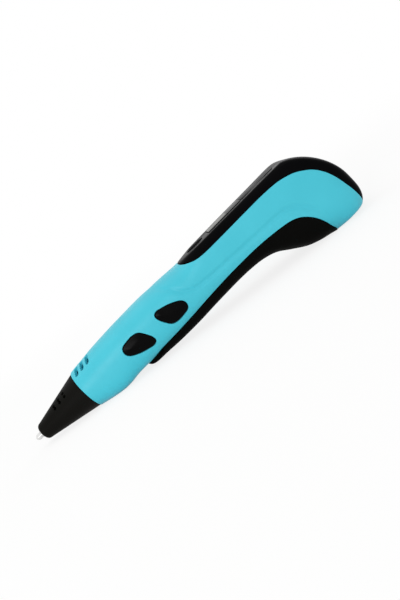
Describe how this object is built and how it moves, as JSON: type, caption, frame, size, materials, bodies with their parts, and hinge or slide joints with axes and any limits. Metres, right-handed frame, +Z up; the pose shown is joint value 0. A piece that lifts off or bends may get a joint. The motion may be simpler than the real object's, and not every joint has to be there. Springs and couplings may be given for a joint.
{
  "type": "3d printing pen",
  "caption": "Handheld 3D-printing pen with a curved two-part body, display cap, grip keel, nose cone with ceramic nozzle, side feed buttons and a geared filament drive.",
  "frame": {"origin": "centre of the bounding box at the table, with the pen lying on its chin and heel", "axes": "+X towards the tail, +Z up towards the display, -Y towards the side with the feed buttons"},
  "size_m": [0.184, 0.031, 0.0398],
  "materials": {
    "shell": "satin light blue moulding",
    "gloss_black": "polished black moulding",
    "soft_black": "soft black moulding",
    "nose_black": "heat-resistant black moulding",
    "ceramic": "sintered white ceramic",
    "amber": "polyimide film",
    "nylon": "natural nylon",
    "ptfe": "translucent white tube",
    "brass": "machined",
    "steel": "plated",
    "board": "green circuit board",
    "window": "smoked display window",
    "lead": "insulated wire"
  },
  "bodies": {
    "housing": {"left_shell": "shell", "right_shell": "shell", "display_cap": "gloss_black", "grip_keel": "soft_black", "nose_cone": "nose_black", "nozzle": "ceramic", "heater_tube": "ceramic", "heat_sleeve": "amber", "thermistor": "amber", "hot_end_holder": "nylon", "front_guide_tube": "ptfe", "rear_guide_tube": "ptfe", "filament_inlet": "soft_black", "power_socket": "soft_black", "gearbox": "brass", "motor_can": "steel", "motor_end_cap": "soft_black", "front_bush": "brass", "rear_bush": "brass", "drive_carrier": "nylon", "fan_frame": "soft_black", "side_board": "board", "load_switch": "steel", "unload_switch": "steel", "main_board": "board", "display_module": "steel", "mode_switch": "steel", "minus_switch": "steel", "plus_switch": "steel", "display_window": "window", "rocker_pin": "steel", "shell_screw_1": "steel", "shell_screw_2": "steel", "shell_screw_3": "steel", "shell_screw_4": "steel", "heater_lead": "lead", "fan_lead": "lead", "switch_lead": "lead", "motor_lead": "lead", "socket_lead": "lead"},
    "load_button": {"load_button": "gloss_black"},
    "unload_button": {"unload_button": "gloss_black"},
    "mode_button": {"mode_button": "gloss_black"},
    "speed_rocker": {"speed_rocker": "gloss_black"},
    "feed_spindle": {"feed_spindle": "brass"},
    "output_shaft": {"output_shaft": "steel", "drive_pinion": "brass"},
    "fan_rotor": {"fan_rotor": "soft_black"}
  },
  "joints": [
    {"name": "load_press", "type": "slide", "parent": "housing", "child": "load_button", "axis": [0, 1, 0], "range_m": [0, 0.0004], "stiffness_N_per_m": 800},
    {"name": "unload_press", "type": "slide", "parent": "housing", "child": "unload_button", "axis": [0, 1, 0], "range_m": [0, 0.0004], "stiffness_N_per_m": 800},
    {"name": "mode_press", "type": "slide", "parent": "housing", "child": "mode_button", "axis": [0.1467, 0, -0.9892], "range_m": [0, 0.0004], "stiffness_N_per_m": 800},
    {"name": "speed_rock", "type": "hinge", "parent": "housing", "child": "speed_rocker", "pos_m": [0.05617, 0, 0.03464], "axis": [0, 1, 0], "range_deg": [-2, 2], "stiffness_Nm_per_rad": 0.1},
    {"name": "spindle_spin", "type": "hinge", "parent": "housing", "child": "feed_spindle", "pos_m": [0.00504, 0, 0.01948], "axis": [0.9892, 0, 0.1467], "continuous": true},
    {"name": "pinion_spin", "type": "hinge", "parent": "housing", "child": "output_shaft", "pos_m": [0.00607, 0, 0.01255], "axis": [0.9892, 0, 0.1467], "continuous": true},
    {"name": "fan_spin", "type": "hinge", "parent": "housing", "child": "fan_rotor", "pos_m": [-0.04432, 0, 0.01428], "axis": [-0.1467, 0, 0.9892], "continuous": true}
  ],
  "couplings": [
    {"joint": "pinion_spin", "follows": "spindle_spin", "ratio": -1.3333}
  ]
}
